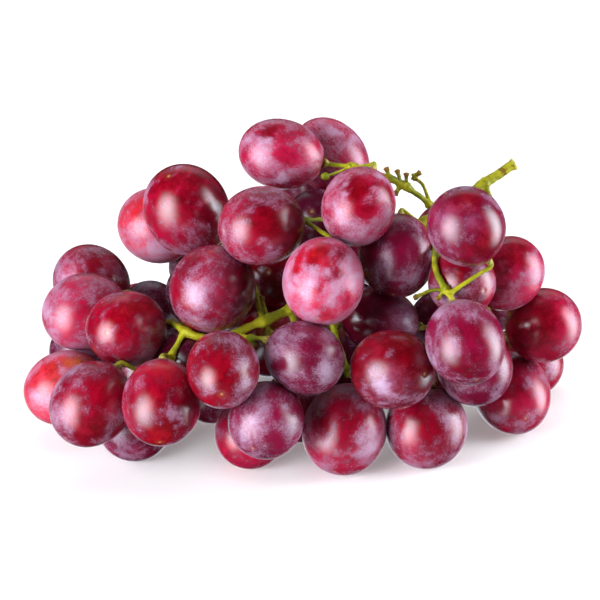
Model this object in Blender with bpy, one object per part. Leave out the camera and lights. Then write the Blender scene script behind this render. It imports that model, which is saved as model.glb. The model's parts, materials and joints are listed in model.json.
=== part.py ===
"""Bunch of red table grapes, lying on its side on a flat surface.

Every berry is its own solid, an ellipsoid with its long axis running from the stem end to
the blossom end. The stem is one solid that grew as one piece: a main stalk, side shoots
and a short stalk for each berry, eased clear of the berries they pass between.
Lengths in the tables are millimetres; the model is built in metres, +Z up, with its
origin under the middle of the bunch, on the surface that it lies on.
"""
import math

import bmesh
import bpy
import numpy as np
from mathutils import Matrix, Vector

MM = 0.001

# Berries -------------------------------------------------------------------------------
BERRY_SEGMENTS = 12      # sides round a berry
BERRY_RINGS = 8          # rings from end to end
PRESS = 0.985            # ripe berries press this close, as a part of their two radii
BERRY_GAP = 0.15         # mm left between neighbours, on top of that
FLAT_DEPTH = 0.8         # mm that a berry's own weight flattens where it rests
REST_REACH = 1.5         # mm: a berry with its lowest point this near the surface rests on it
SETTLE_ROUNDS = 400
SETTLE_PUSH = 0.4        # share of an overlap that each round takes away
FAR_APART = 1000.0       # mm, the distance that a berry counts as having to itself
SHARP_ANGLE = 40         # degrees: edges turning more than this are drawn sharp

# One row for each berry: name, centre, width, length, and the way its blossom end points.
BERRIES = (
    # top of the bunch
    ("berry_01", (-6, 7, 83), 22, 27, (-9, 0, 2)),
    ("berry_02", (10, 28, 74), 22.5, 27.5, (-6, 2, 6)),
    ("berry_03", (-36, -1, 67), 27, 31, (-3, -3, 8)),
    ("berry_04", (-47, 19, 53), 24.5, 26, (-8, 0, 4)),
    ("berry_05", (-12, -26, 72), 24.5, 27, (-8, -5, 1)),
    ("berry_06", (18, -27, 79), 22.5, 24.5, (-3, -6, -6)),
    ("berry_07", (7, -43, 61), 24.5, 27.5, (-1, -7, -4)),
    ("berry_08", (30, -22, 60), 23.5, 26.5, (-1, -7, -6)),
    ("berry_09", (50, -40, 78), 23.5, 24, (-5, 1, 8)),
    ("berry_10", (-27, -28, 52), 26.5, 28, (-3, -8, -3)),
    # left end
    ("berry_11", (-69, 15, 34), 24.5, 26.5, (-6, 5, 5)),
    ("berry_12", (-69, -11, 36), 24.5, 27, (-8, -4, -2)),
    ("berry_13", (-54, -30, 39), 24, 29.5, (-3, -8, 3)),
    ("berry_14", (-50, 19, 22), 20, 20.5, (-7, 2, 5)),
    ("berry_15", (-32, 3, 36), 22.5, 23.5, (-9, -1, 3)),
    ("berry_16", (-35, 26, 35), 17.5, 18, (-6, 7, 1)),
    ("berry_17", (-75, -25, 16), 23, 26, (-8, -4, -3)),
    ("berry_18", (-71, 1, 16), 21.5, 22.5, (-9, 2, -1)),
    ("berry_19", (-63, -54, 25), 24, 27, (-5, -6, -5)),
    # front, left to right
    ("berry_20", (-42, -62, 30), 23.5, 26.5, (0, -7, -5)),
    ("berry_21", (-52, -40, 11), 23.5, 24, (-2, -4, -8)),
    ("berry_22", (-23, -64, 42), 21.5, 26.5, (0, -9, -1)),
    ("berry_23", (1, -55, 41), 21.5, 24.5, (8, -4, -2)),
    ("berry_24", (28, -56, 38), 24, 26.5, (6, -6, 2)),
    ("berry_25", (49, -60, 49), 23.5, 26, (2, -7, -5)),
    ("berry_26", (-10, -61, 24), 23, 23.5, (-3, -8, -3)),
    ("berry_27", (-15, -45, 10), 22.5, 23, (-4, -3, -7)),
    ("berry_28", (14, -47, 13), 26, 28.5, (-2, -7, -6)),
    ("berry_29", (39, -44, 12), 25.5, 26, (-1, -2, -9)),
    # right end
    ("berry_30", (68, -20, 12), 24.5, 29.5, (2, -9, -1)),
    ("berry_31", (77, -18, 35), 23.5, 24, (8, -1, 3)),
    ("berry_32", (65, -20, 53), 22, 24, (6, 2, 6)),
    ("berry_33", (50, -34, 57), 20.5, 21, (5, -7, 1)),
    ("berry_34", (54, -41, 31), 23, 23.5, (3, -4, -7)),
    ("berry_35", (76, 4, 11), 21.5, 22.5, (8, 2, -4)),
    # inside the bunch
    ("berry_36", (25, -23, 39), 20, 24.5, (-9, -1, 2)),
    ("berry_37", (46, -8, 31), 21, 21.5, (0, -9, 1)),
    ("berry_38", (6, 13, 57), 21.5, 22, (-2, -7, 6)),
    ("berry_39", (-8, 3, 42), 21.5, 22, (-2, -8, 5)),
    ("berry_40", (-34, -33, 29), 21.5, 22, (-5, -8, 0)),
    ("berry_41", (-28, -15, 10), 21.5, 22, (-3, -4, -8)),
    ("berry_42", (46, -21, 17), 16.5, 17, (-8, -2, -3)),
    ("berry_43", (-8, 18, 22), 22, 22.5, (-2, -3, -8)),
    ("berry_44", (14, -15, 23), 22, 23.5, (2, 2, -9)),
    ("berry_45", (-10, -5, 22), 22, 23.5, (0, 7, -6)),
    ("berry_46", (-1, -28, 11), 22, 23.5, (2, 1, -9)),
    ("berry_47", (-49, -15, 18), 22, 23.5, (-2, -3, -8)),
    ("berry_48", (-42, 2, 10), 22, 23.5, (6, 2, -7)),
    # back of the bunch
    ("berry_49", (4, 43, 56), 22.5, 24, (-4, -1, 8)),
    ("berry_50", (50, 27, 43), 24, 25.5, (0, 6, 7)),
    ("berry_51", (24, 18, 11), 24, 25.5, (0, 5, -8)),
    ("berry_52", (52, 10, 11), 24, 25.5, (4, 2, -8)),
    ("berry_53", (5, 39, 32), 24, 26, (-4, 7, -4)),
    ("berry_54", (29, 33, 35), 24.5, 26, (5, 5, -3)),
    ("berry_55", (-31, 33, 11), 23.5, 25, (5, 7, -3)),
    ("berry_56", (-54, 37, 11), 23.5, 25, (-7, 5, -3)),
    ("berry_57", (26, 12, 47), 23, 24.5, (-2, 8, -4)),
    ("berry_58", (-7, 39, 11), 24, 26, (6, 6, -3)),
    ("berry_59", (64, 23, 27), 24, 25.5, (6, 6, -4)),
)

# Stem ----------------------------------------------------------------------------------
STEM_CLEARANCE = 0.4     # mm between the stem and the berries that it passes
TIP_GAP = 0.3            # mm between a stalk's tip and its berry
MAIN_ROOM = 1.55         # mm, the radius that the main stalk keeps clear
SHOOT_RADIUS = 0.9       # mm, a side shoot, with its wider base and its far end
SHOOT_BASE = 1.15
SHOOT_END = 0.85
STALK_RADIUS = 0.65      # mm, a berry's own stalk, with its wider base
STALK_BASE = 0.9
NECK_LENGTH = 2.5        # mm of straight stalk before the berry, and the radius there
NECK_RADIUS = 0.8
TIP_RADIUS = 1.15        # mm, the swollen tip that holds the berry
STUB_RADIUS = 0.55       # mm, a dried stalk that lost its berry, its base and its blunt tip
STUB_BASE = 0.8
STUB_TIP = 0.95
POINT_STEP = 2.0         # mm between the points of a route while it is eased
MAIN_STEP = 3.5          # mm between the points of the main stalk
TUBE_STEP = 4.2          # mm between the points of the finished tube
EASE_ROUNDS = 160
EASE_PUSH = 0.6          # share of an overlap that each round takes away
EASE_EARLY = 0.3         # smoothing in the first rounds, and in the last ones
EASE_LATE = 0.05
EASE_LATE_FROM = 0.8     # share of the rounds after which the smoothing drops
ROOM_ENOUGH = 0.3        # mm: a stalk with this much room on all sides is taken
START_CHOICES = 60       # stem points that a stalk may leave from, nearest first
START_STRIDE = 3

# Bends that a stalk may try, in mm sideways, when its straight way is blocked.
DETOURS = ((0, 0, 0), (6, 0, 0), (-6, 0, 0), (0, 6, 0), (0, -6, 0), (0, 0, 6), (0, 0, -6))

# The main stalk from its cut end to its far tip, with its radius at each point.
MAIN_STALK = (
    ((69, 14, 77), 1.75), ((64, 12, 74), 1.55), ((58, 8, 71), 1.5), ((52, 5, 67), 1.5),
    ((44, 3, 65), 1.6), ((38, 1, 63), 1.45), ((29, -4, 57), 1.4), ((19, -14, 51), 1.4),
    ((8, -23, 46), 1.35), ((-3, -29, 44), 1.35), ((-12, -31, 42), 1.3), ((-21, -38, 42), 1.25),
    ((-29, -41, 42), 1.2), ((-36, -38, 40), 1.2), ((-41, -27, 38), 1.1), ((-45, -17, 34), 1.0),
    ((-52, -9, 33), 1.0), ((-57, -3, 30), 0.9),
)

# Side shoots, each from a point on the main stalk or on an earlier shoot.
SHOOTS = (
    ((44, 3, 65), (44, 3, 70), (41, 4, 74), (37, 4, 77), (32, 2, 80), (26, 1, 82), (16, -1, 82)),
    ((38, 1, 63), (39, -12, 66), (40, -26, 67), (43, -36, 66), (46, -44, 62), (44, -44, 59)),
    ((19, -14, 51), (16, -10, 60), (10, -8, 67)),
    ((-12, -31, 42), (-12, -20, 48), (-18, -4, 53), (-21, 12, 50), (-24, 22, 46)),
    ((19, -14, 51), (15, -2, 46), (14, 10, 42), (12, 24, 42)),
    ((44, 3, 65), (44, 6, 56), (43, 14, 40), (46, 12, 28)),
    ((52, 5, 67), (58, -2, 60), (60, -6, 44), (61, -8, 30)),
    ((-3, -29, 44), (0, -33, 34), (3, -36, 25)),
    ((8, -23, 46), (9, -31, 39), (13, -36, 36), (15, -41, 29)),
    ((-36, -38, 40), (-40, -44, 32), (-43, -46, 27)),
    ((-24, -39, 42), (-18, -44, 45), (-15, -47, 44)),
    ((60, 9, 72), (61.5, 8, 68.5), (62, 9, 65)),
)

# Dried stalks with no berry left on them: where each leaves the stem, and its tip.
STUBS = (
    ((42.5, 4, 69.5), (39.5, 5, 73.2), (36, 5, 76)),
    ((36, 5, 76), (38.3, 5, 77.6)),
    ((35, 3, 74.5), (33.8, 2, 78.4)),
    ((32, 2.5, 76), (30.8, 1, 79.8)),
    ((29, 1.5, 77), (27.2, 0, 80.8)),
    ((33, 3, 74.5), (30.2, 1, 71.5)),
    ((44, -44, 59), (41.5, -44.5, 56)),
    ((44, -44, 59), (40, -40, 57), (35.5, -34.5, 52)),
    ((-15, -47, 44), (-13.5, -48.5, 42)),
    ((-9, -30.5, 43), (-12, -22, 46)),
)

# A tiny green berry that never grew, with its thread-thin stalk: part of the stem.
SHOT_BERRY_AT = (8, -2, 79)
SHOT_BERRY_RADIUS = 1.2
SHOT_BERRY_STALK = ((16, -1, 81), (12, -2, 80.5), (8, -2, 79))
SHOT_STALK_RADIUS = 0.4


def clear_scene():
    """Remove every object, mesh, curve and material that the file holds."""
    for thing in list(bpy.data.objects):
        bpy.data.objects.remove(thing, do_unlink=True)
    for block in (bpy.data.meshes, bpy.data.curves, bpy.data.materials):
        for item in list(block):
            block.remove(item)


def new_collection(name):
    """A fresh collection, linked to the scene."""
    collection = bpy.data.collections.new(name)
    bpy.context.scene.collection.children.link(collection)
    return collection


def new_material(name, colour, roughness):
    """A Principled material with one colour and roughness."""
    material = bpy.data.materials.new(name)
    material.use_nodes = True
    shader = material.node_tree.nodes["Principled BSDF"]
    shader.inputs["Base Color"].default_value = (*colour, 1.0)
    shader.inputs["Roughness"].default_value = roughness
    shader.inputs["Metallic"].default_value = 0.0
    material.diffuse_color = (*colour, 1.0)
    return material


def berry_tint(index):
    """Skin colour of one berry: wine red, turning to plum or to coral from berry to berry."""
    ripeness = (index * 0.618) % 1.0
    return (0.16 + 0.22 * ripeness, 0.015 + 0.02 * ripeness, 0.045 + 0.015 * ripeness)


class Berries:
    """Centres, axes and radii of all the berries, in millimetres."""

    def __init__(self, rows):
        self.names = [row[0] for row in rows]
        self.centre = np.array([row[1] for row in rows], float)
        self.across = np.array([row[2] for row in rows], float) / 2
        self.along = np.array([row[3] for row in rows], float) / 2
        axis = np.array([row[4] for row in rows], float)
        self.axis = axis / np.linalg.norm(axis, axis=1)[:, None]
        self.reach_down = np.array([self.lowest(i) for i in range(len(rows))])
        self.rests = self.centre[:, 2] < self.reach_down + REST_REACH

    def turn(self, index):
        """Rotation that stands a berry's own Z on its axis."""
        return Vector(self.axis[index]).to_track_quat("Z", "Y")

    def mesh(self, index):
        """The berry's faceted ellipsoid about its own centre, in metres."""
        shape = bmesh.new()
        across, along = self.across[index] * MM, self.along[index] * MM
        size = Matrix.Diagonal((across, across, along, 1.0))
        bmesh.ops.create_uvsphere(
            shape, u_segments=BERRY_SEGMENTS, v_segments=BERRY_RINGS, radius=1.0, matrix=size)
        return shape

    def lowest(self, index):
        """How far the berry's lowest corner lies below its centre, in mm."""
        shape = self.mesh(index)
        turn = self.turn(index)
        low = min((turn @ corner.co).z for corner in shape.verts)
        shape.free()
        return -low / MM

    def settle(self):
        """Ease the berries apart until none presses deeper than PRESS allows."""
        self.centre[self.rests, 2] = self.reach_down[self.rests] - FLAT_DEPTH
        for _ in range(SETTLE_ROUNDS):
            apart = self.centre[None] - self.centre[:, None]
            distance = np.linalg.norm(apart, axis=2) + np.eye(len(self.names)) * FAR_APART
            way = apart / distance[..., None]
            lean = np.einsum("ijk,ik->ij", way, self.axis) ** 2
            radius = 1 / np.sqrt((1 - lean) / self.across[:, None] ** 2 + lean / self.along[:, None] ** 2)
            needed = (radius + radius.T) * PRESS + BERRY_GAP
            push = np.maximum(0.0, needed - distance)
            self.centre -= SETTLE_PUSH * (push[..., None] * way).sum(axis=1)
            self.centre[self.rests, 2] = self.reach_down[self.rests] - FLAT_DEPTH
            self.centre[:, 2] = np.maximum(self.centre[:, 2], self.reach_down - FLAT_DEPTH)

    def distance(self, points):
        """Distance from each point to each berry's skin, and the way out of it."""
        arm = points[:, None] - self.centre[None]
        along = np.einsum("pbk,bk->pb", arm, self.axis)[..., None] * self.axis[None]
        slope = (arm - along) / self.across[None, :, None] ** 2 + along / self.along[None, :, None] ** 2
        level = np.sqrt(np.maximum((arm * slope).sum(axis=2), 1e-9))
        steep = np.linalg.norm(slope, axis=2)
        out = slope / steep[..., None]
        return (level - 1) * level / steep, out

    def stalk_end(self, index, beyond):
        """The point this far beyond the berry's stem end, on its axis."""
        return self.centre[index] - self.axis[index] * (self.along[index] + beyond)


def spaced(points, step):
    """The same route with its points about one step apart, both ends kept."""
    points = np.array(points, float)
    runs = np.linalg.norm(np.diff(points, axis=0), axis=1)
    travelled = np.concatenate([[0.0], np.cumsum(runs)])
    count = max(2, int(round(travelled[-1] / step)) + 1)
    marks = np.linspace(0.0, travelled[-1], count)
    return np.stack([np.interp(marks, travelled, points[:, k]) for k in range(3)], axis=1)


def eased(points, radius, berries, held=1):
    """A route pushed clear of the berries and smoothed, with its held end points kept."""
    route = spaced(points, POINT_STEP)
    if len(route) < 3:
        return route
    room = radius + STEM_CLEARANCE
    loose = slice(1, len(route) - held)
    for round_number in range(EASE_ROUNDS):
        gap, out = berries.distance(route)
        push = (np.maximum(0.0, room - gap)[..., None] * out).sum(axis=1)
        bend = np.zeros_like(route)
        bend[1:-1] = route[:-2] + route[2:] - 2 * route[1:-1]
        early = round_number < EASE_ROUNDS * EASE_LATE_FROM
        smoothing = EASE_EARLY if early else EASE_LATE
        route[loose] += EASE_PUSH * push[loose] + smoothing * bend[loose]
    return route


def clearance(route, radius, berries):
    """The smallest gap that a tube of this radius keeps to any berry."""
    fine = spaced(route, POINT_STEP / 2)
    return float(berries.distance(fine)[0].min()) - radius


def add_tube(name, points, radii, collection, sides=1):
    """A tube through the points as a closed mesh, with filled ends."""
    curve = bpy.data.curves.new(name, "CURVE")
    curve.dimensions = "3D"
    curve.bevel_depth = 1.0
    curve.bevel_resolution = sides
    curve.use_fill_caps = True
    spline = curve.splines.new("POLY")
    spline.points.add(len(points) - 1)
    for control, point, radius in zip(spline.points, points, radii):
        control.co = (*(np.array(point) * MM), 1.0)
        control.radius = radius * MM
    guide = bpy.data.objects.new(name + "_curve", curve)
    collection.objects.link(guide)
    bpy.context.view_layer.update()
    evaluated = guide.evaluated_get(bpy.context.evaluated_depsgraph_get())
    mesh = bpy.data.meshes.new_from_object(evaluated)
    shape = bmesh.new()
    shape.from_mesh(mesh)
    bmesh.ops.remove_doubles(shape, verts=shape.verts, dist=1e-6)
    bmesh.ops.recalc_face_normals(shape, faces=shape.faces)
    shape.to_mesh(mesh)
    shape.free()
    tube = bpy.data.objects.new(name, mesh)
    tube.matrix_world = guide.matrix_world
    collection.objects.link(tube)
    bpy.data.objects.remove(guide, do_unlink=True)
    bpy.data.curves.remove(curve)
    return tube


def taper(count, base, middle, tip):
    """Radii along a shoot: stout where it leaves the stem, thin, then swollen at its tip."""
    radii = np.full(count, middle)
    radii[0] = base
    radii[-1] = tip
    return radii


class Stem:
    """The routes of the stem, grown one after another onto what is there already."""

    def __init__(self, berries, collection):
        self.berries = berries
        self.collection = collection
        self.points = np.zeros((0, 3))
        self.tubes = []

    def add(self, name, route, radii, sides=1):
        """Turn a route into a tube and remember its points for later shoots."""
        self.tubes.append(add_tube(name, route, radii, self.collection, sides))
        self.points = np.vstack([self.points, spaced(route, POINT_STEP)[1:]])

    def add_main_stalk(self):
        """The thick stalk from its cut end to its far tip."""
        points = np.array([row[0] for row in MAIN_STALK], float)
        radii = np.array([row[1] for row in MAIN_STALK])
        route = eased(points, MAIN_ROOM, self.berries)
        share = np.linspace(0, 1, len(route))
        widths = np.interp(share, np.linspace(0, 1, len(radii)), radii)
        tube = spaced(route, MAIN_STEP)
        widths = np.interp(np.linspace(0, 1, len(tube)), share, widths)
        self.points = tube[:1]
        self.add("main_stalk", tube, widths, sides=2)

    def add_shoot(self, number, points):
        """A side shoot, from the nearest point of the stem along its own points."""
        start = self.nearest(points[0])
        route = eased([start, *points[1:]], SHOOT_RADIUS, self.berries, held=0)
        tube = spaced(route, TUBE_STEP)
        self.add(f"shoot_{number:02d}", tube, taper(len(tube), SHOOT_BASE, SHOOT_RADIUS, SHOOT_END))

    def nearest(self, point):
        """The stem's own point nearest to the one given."""
        return self.points[np.linalg.norm(self.points - np.array(point, float), axis=1).argmin()]

    def add_stalk(self, index):
        """A berry's stalk, by the shortest way that runs clear of every berry."""
        tip = self.berries.stalk_end(index, TIP_GAP)
        neck = self.berries.stalk_end(index, TIP_GAP + NECK_LENGTH)
        far = np.linalg.norm(self.points - neck, axis=1)
        best = None
        for choice in np.argsort(far)[:START_CHOICES:START_STRIDE]:
            for detour in DETOURS:
                middle = (self.points[choice] + neck) / 2 + np.array(detour, float)
                route = eased([self.points[choice], middle, neck], STALK_RADIUS, self.berries)
                room = clearance(route, STALK_RADIUS, self.berries)
                if best is None or room > best[0]:
                    best = (room, route)
                if room > ROOM_ENOUGH:
                    break
            if best[0] > ROOM_ENOUGH:
                break
        tube = np.vstack([spaced(best[1], TUBE_STEP), tip])
        radii = taper(len(tube), STALK_BASE, STALK_RADIUS, TIP_RADIUS)
        radii[-2] = NECK_RADIUS
        self.add("stalk_" + self.berries.names[index], tube, radii)

    def add_stub(self, number, points):
        """A dried stalk with a blunt, swollen tip."""
        route = [self.nearest(points[0]), *points[1:]]
        tube = spaced(route, TUBE_STEP)
        self.add(f"stub_{number:02d}", tube, taper(len(tube), STUB_BASE, STUB_RADIUS, STUB_TIP))

    def grow(self):
        """Main stalk, side shoots and stubs, then a stalk for each berry, nearest first."""
        self.add_main_stalk()
        for number, points in enumerate(SHOOTS, 1):
            self.add_shoot(number, points)
        waiting = list(range(len(self.berries.names)))
        while waiting:
            ends = np.array([self.berries.stalk_end(i, TIP_GAP) for i in waiting])
            near = np.linalg.norm(ends[:, None] - self.points[None], axis=2).min(axis=1)
            self.add_stalk(waiting.pop(int(near.argmin())))
        for number, points in enumerate(STUBS, 1):
            self.add_stub(number, points)
        start = self.nearest(SHOT_BERRY_STALK[0])
        thread = np.array([start, *SHOT_BERRY_STALK[1:]], float)
        self.add("shot_stalk", thread, np.full(len(thread), SHOT_STALK_RADIUS))
        self.tubes.append(add_shot_berry(self.collection))


def add_shot_berry(collection):
    """The tiny green berry, as a closed ball."""
    shape = bmesh.new()
    place = Matrix.Translation(Vector(SHOT_BERRY_AT) * MM)
    bmesh.ops.create_icosphere(shape, subdivisions=1, radius=SHOT_BERRY_RADIUS * MM, matrix=place)
    mesh = bpy.data.meshes.new("shot_berry")
    shape.to_mesh(mesh)
    shape.free()
    ball = bpy.data.objects.new("shot_berry", mesh)
    collection.objects.link(ball)
    return ball


def add_berry(berries, index, collection):
    """One berry, cut flat where it rests on the surface."""
    shape = berries.mesh(index)
    centre = Vector(berries.centre[index]) * MM
    turn = berries.turn(index)
    if berries.rests[index]:
        back = turn.inverted()
        cut = bmesh.ops.bisect_plane(
            shape, geom=shape.verts[:] + shape.edges[:] + shape.faces[:], dist=1e-7,
            plane_co=back @ Vector((0, 0, -centre.z)), plane_no=back @ Vector((0, 0, -1)),
            clear_outer=True)
        rim = [item for item in cut["geom_cut"] if isinstance(item, bmesh.types.BMEdge)]
        bmesh.ops.edgeloop_fill(shape, edges=rim)
        bmesh.ops.recalc_face_normals(shape, faces=shape.faces)
    mesh = bpy.data.meshes.new(berries.names[index])
    shape.to_mesh(mesh)
    shape.free()
    mesh.shade_smooth()
    mesh.set_sharp_from_angle(angle=math.radians(SHARP_ANGLE))
    berry = bpy.data.objects.new(berries.names[index], mesh)
    berry.location = centre
    berry.rotation_mode = "QUATERNION"
    berry.rotation_quaternion = turn
    collection.objects.link(berry)
    mesh.materials.append(new_material(berry.name + "_skin", berry_tint(index), 0.35))
    return berry


def join_stem(tubes, collection):
    """Unite the tubes into the one solid that the stem is."""
    for tube in tubes:
        tube.hide_render = True
        tube.display_type = "WIRE"
    trunk = tubes[0]
    stem = bpy.data.objects.new("stem", trunk.data)
    collection.objects.link(stem)
    shoots = trunk.users_collection[0]
    bpy.data.objects.remove(trunk, do_unlink=True)
    stem.data.materials.append(new_material("stem_green", (0.22, 0.27, 0.05), 0.6))
    union = stem.modifiers.new("union", "BOOLEAN")
    union.operation = "UNION"
    union.solver = "EXACT"
    union.operand_type = "COLLECTION"
    union.collection = shoots
    return stem


def stand_over_middle(pieces, guides, collection):
    """Parent all pieces and guides to an empty that puts the bunch's middle over the origin."""
    bpy.context.view_layer.update()
    depsgraph = bpy.context.evaluated_depsgraph_get()
    corners = [
        piece.matrix_world @ corner.co
        for piece in pieces
        for corner in piece.evaluated_get(depsgraph).data.vertices]
    centre = bpy.data.objects.new("bunch_centre", None)
    collection.objects.link(centre)
    middle = [(min(c[k] for c in corners) + max(c[k] for c in corners)) / 2 for k in (0, 1)]
    for item in [*pieces, *guides]:
        item.parent = centre
    centre.location = (-middle[0], -middle[1], 0.0)


def main():
    """Build the whole bunch."""
    clear_scene()
    bunch = new_collection("bunch_of_grapes")
    guides = new_collection("stem_guides")
    berries = Berries(BERRIES)
    berries.settle()
    stem = Stem(berries, guides)
    stem.grow()
    pieces = [add_berry(berries, index, bunch) for index in range(len(berries.names))]
    pieces.append(join_stem(stem.tubes, bunch))
    stand_over_middle(pieces, guides.objects, bunch)


main()
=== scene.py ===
"""Looks of a bunch of red table grapes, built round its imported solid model."""
import json
import math

import bpy
import numpy as np
from bpy.props import FloatProperty, FloatVectorProperty, IntProperty, PointerProperty
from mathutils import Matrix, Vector


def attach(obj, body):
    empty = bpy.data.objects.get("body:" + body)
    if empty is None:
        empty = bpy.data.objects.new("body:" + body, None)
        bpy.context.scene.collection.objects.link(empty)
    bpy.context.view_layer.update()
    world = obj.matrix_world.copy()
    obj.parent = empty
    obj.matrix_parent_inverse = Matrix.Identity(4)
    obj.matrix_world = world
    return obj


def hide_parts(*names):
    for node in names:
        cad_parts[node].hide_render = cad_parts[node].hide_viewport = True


bl_info = {
    "name": "Bunch of grapes",
    "version": (1, 0, 0),
    "blender": (4, 5, 0),
    "location": "3D View > Sidebar > Grapes",
    "description": "Berries, stem and studio of a bunch of red table grapes",
    "category": "Object",
}

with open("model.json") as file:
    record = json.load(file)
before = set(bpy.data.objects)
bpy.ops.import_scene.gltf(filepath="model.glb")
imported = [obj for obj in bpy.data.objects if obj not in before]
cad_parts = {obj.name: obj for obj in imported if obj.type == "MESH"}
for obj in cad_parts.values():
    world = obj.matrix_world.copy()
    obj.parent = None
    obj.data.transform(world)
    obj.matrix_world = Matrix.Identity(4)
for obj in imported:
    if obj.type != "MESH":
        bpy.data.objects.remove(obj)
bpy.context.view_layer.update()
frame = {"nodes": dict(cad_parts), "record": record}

MM = 0.001
TAU = 2 * math.pi

# Skin colours of the berries, as linear red, green and blue.
SKINS = {
    "wine": ((0.31, 0.002, 0.024), (0.17, 0.001, 0.011)),
    "deep": ((0.24, 0.001, 0.012), (0.13, 0.001, 0.007)),
    "plum": ((0.19, 0.003, 0.032), (0.11, 0.001, 0.016)),
    "dusk": ((0.09, 0.003, 0.020), (0.05, 0.002, 0.011)),
    "pink": ((0.42, 0.010, 0.056), (0.28, 0.002, 0.022)),
    "rose": ((0.50, 0.022, 0.074), (0.36, 0.005, 0.032)),
    "coral": ((0.54, 0.042, 0.064), (0.42, 0.010, 0.026)),
    "olive": ((0.16, 0.055, 0.045), (0.12, 0.030, 0.028)),
}
RED = (0.22, 0.001, 0.007)
CRIMSON = (0.31, 0.001, 0.010)
SCARLET = (0.44, 0.005, 0.009)
# Near black: painted shade for the rims where one berry meets another.
PAINTED_SHADE = (0.08, 0.001, 0.006)
OLIVE = (0.24, 0.17, 0.04)
AMBER = (0.50, 0.17, 0.02)
LILAC = (0.30, 0.10, 0.20)

# One row for each berry in the order of their numbers, five to a line: its skin, and how
# much bloom it carries.
RIPENESS = (
    ("pink", 0.75), ("pink", 0.74), ("wine", 0.58), ("coral", 0.78), ("wine", 0.64),
    ("pink", 0.75), ("rose", 0.84), ("plum", 0.54), ("plum", 0.55), ("wine", 0.64),
    ("wine", 0.64), ("pink", 0.70), ("wine", 0.66), ("plum", 0.66), ("dusk", 0.50),
    ("olive", 0.40), ("coral", 0.86), ("dusk", 0.64), ("wine", 0.70), ("wine", 0.60),
    ("plum", 0.55), ("deep", 0.60), ("plum", 0.65), ("deep", 0.65), ("plum", 0.64),
    ("plum", 0.65), ("pink", 0.60), ("pink", 0.72), ("wine", 0.75), ("pink", 0.58),
    ("pink", 0.46), ("pink", 0.56), ("wine", 0.60), ("plum", 0.56), ("wine", 0.62),
    ("plum", 0.42), ("dusk", 0.50), ("dusk", 0.40), ("deep", 0.30), ("dusk", 0.20),
    ("plum", 0.66), ("deep", 0.30), ("deep", 0.35), ("dusk", 0.35), ("deep", 0.30),
    ("deep", 0.35), ("wine", 0.40), ("plum", 0.45), ("plum", 0.50), ("pink", 0.65),
    ("plum", 0.60), ("wine", 0.55), ("wine", 0.60), ("plum", 0.70), ("wine", 0.60),
    ("coral", 0.55), ("plum", 0.50), ("pink", 0.65), ("deep", 0.55),
)
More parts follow.
